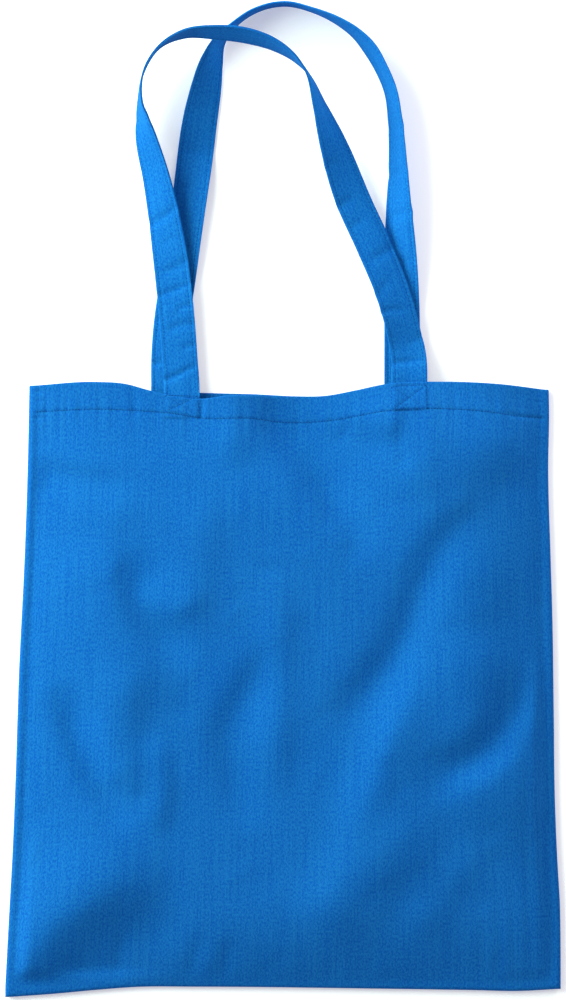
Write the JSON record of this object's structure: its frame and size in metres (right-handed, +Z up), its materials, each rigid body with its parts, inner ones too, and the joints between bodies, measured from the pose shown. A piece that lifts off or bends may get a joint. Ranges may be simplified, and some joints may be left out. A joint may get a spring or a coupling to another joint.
{
  "type": "reusable shopping bag",
  "caption": "Flat cotton shopping bag with a hemmed open mouth and long tape handles, lying on its back with the handle loops spread.",
  "frame": {"origin": "below the middle of the whole bag, on the surface that it lies on", "axes": "+X across the bag to the right as seen from the front, +Y from the bottom fold towards the handles, +Z up out of the front panel"},
  "size_m": [0.3886, 0.6956, 0.0502],
  "materials": {
    "body_cotton": "plain-woven dyed cotton, matt",
    "handle_cotton": "folded and edge-stitched cotton tape, matt"
  },
  "bodies": {
    "root": {"bag_body": "body_cotton", "front_handle": "handle_cotton", "back_handle": "handle_cotton"}
  },
  "joints": []
}
